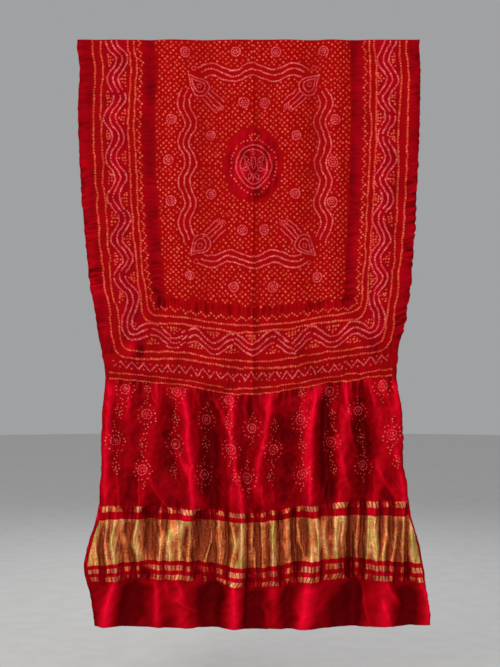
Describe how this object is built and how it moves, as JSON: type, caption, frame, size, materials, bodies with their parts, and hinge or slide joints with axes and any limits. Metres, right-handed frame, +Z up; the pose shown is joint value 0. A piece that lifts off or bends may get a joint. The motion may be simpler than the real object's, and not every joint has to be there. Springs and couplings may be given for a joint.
{
  "type": "bandhani cloth",
  "caption": "Rectangular length of red silk hung by its top edge, tied and dyed with fine dots in a bordered field, with free folds and a woven gold band above the lower hem.",
  "frame": {"origin": "middle of the top edge, where whatever holds the cloth takes it", "axes": "+Z up along the hang, +X to the viewer's right, the dyed face towards -Y"},
  "size_m": [0.7756, 0.0374, 1.294],
  "materials": {
    "red_silk": "satin weave, glossy",
    "gold_zari": "woven metal thread",
    "yellow_dots": "resist-dyed silk",
    "pale_dots": "resist-dyed silk"
  },
  "bodies": {
    "root": {"bandhani_cloth": "red_silk"}
  },
  "joints": []
}
